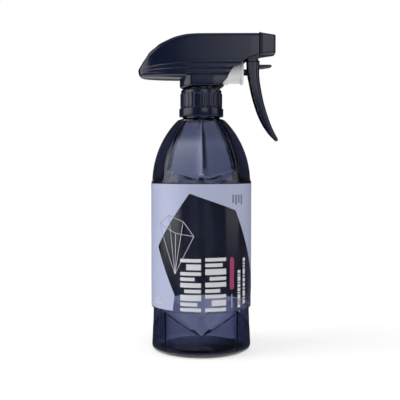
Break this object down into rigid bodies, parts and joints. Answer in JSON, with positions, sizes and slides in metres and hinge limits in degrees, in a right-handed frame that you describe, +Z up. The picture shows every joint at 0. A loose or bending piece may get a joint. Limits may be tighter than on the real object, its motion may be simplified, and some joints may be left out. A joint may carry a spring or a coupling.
{
  "type": "trigger spray bottle",
  "caption": "Hand trigger spray bottle: faceted translucent bottle with wrap label, screw collar, pump sprayer with trigger and turning square nozzle.",
  "frame": {"origin": "centre of the bottle's base, on the surface it stands on", "axes": "+Z up along the bottle, +X the way it sprays, +Y to the left when looking along +X"},
  "size_m": [0.0995, 0.072, 0.2265],
  "materials": {
    "bottle_plastic": "clear navy, glossy",
    "label_film": "lavender film, satin",
    "navy_plastic": "moulded navy, satin gloss",
    "dark_navy_plastic": "moulded dark navy, satin",
    "white_plastic": "moulded white, satin",
    "black_plastic": "moulded black, satin",
    "natural_plastic": "milky natural plastic",
    "gasket_foam": "closed-cell foam, matte",
    "seal_rubber": "soft rubber, matte",
    "spring_steel": "drawn stainless steel"
  },
  "bodies": {
    "bottle_body": {"bottle": "bottle_plastic", "label": "label_film"},
    "sprayer": {"sprayer_body": "dark_navy_plastic", "shroud": "navy_plastic", "pump_cylinder": "white_plastic", "tube_adapter": "natural_plastic", "dip_tube": "natural_plastic", "neck_gasket": "gasket_foam", "nozzle_seal": "seal_rubber", "return_spring": "spring_steel"},
    "collar": {"collar": "navy_plastic"},
    "trigger": {"trigger": "navy_plastic"},
    "trigger_lock": {"trigger_lock": "navy_plastic"},
    "piston": {"piston": "white_plastic", "piston_seal": "seal_rubber", "piston_rod": "black_plastic"},
    "inlet_ball": {"inlet_ball": "spring_steel"},
    "outlet_valve": {"outlet_valve": "seal_rubber"},
    "nozzle": {"nozzle_cap": "navy_plastic", "swirl_insert": "white_plastic"}
  },
  "joints": [
    {"name": "sprayer_lift", "type": "slide", "parent": "bottle_body", "child": "sprayer", "axis": [0, 0, 1], "range_m": [0, 0.00528]},
    {"name": "collar_turn", "type": "hinge", "parent": "sprayer", "child": "collar", "pos_m": [0, 0, 0.176], "axis": [0, 0, 1], "range_deg": [0, 450]},
    {"name": "trigger_squeeze", "type": "hinge", "parent": "sprayer", "child": "trigger", "pos_m": [0.0373, 0, 0.2101], "axis": [0, 1, 0], "range_deg": [0, 19], "stiffness_Nm_per_rad": 0.5, "springref_deg": -17.19},
    {"name": "lock_slide", "type": "slide", "parent": "trigger", "child": "trigger_lock", "axis": [1, 0, 0], "range_m": [-0.008, 0]},
    {"name": "piston_slide", "type": "slide", "parent": "sprayer", "child": "piston", "axis": [1, 0, 0], "range_m": [-0.0041, 0], "deforming": ["return_spring"]},
    {"name": "inlet_ball_lift", "type": "slide", "parent": "sprayer", "child": "inlet_ball", "axis": [0, 0, 1], "range_m": [0, 0.0012]},
    {"name": "outlet_valve_lift", "type": "slide", "parent": "sprayer", "child": "outlet_valve", "axis": [0, 0, 1], "range_m": [0, 0.0015]},
    {"name": "nozzle_turn", "type": "hinge", "parent": "sprayer", "child": "nozzle", "pos_m": [0.0478, 0, 0.2176], "axis": [1, 0, 0], "continuous": true}
  ],
  "couplings": [
    {"joint": "collar_turn", "follows": "sprayer_lift", "rad_per_m": 1485.4},
    {"joint": "piston_slide", "follows": "trigger_squeeze", "m_per_rad": -0.01206}
  ]
}
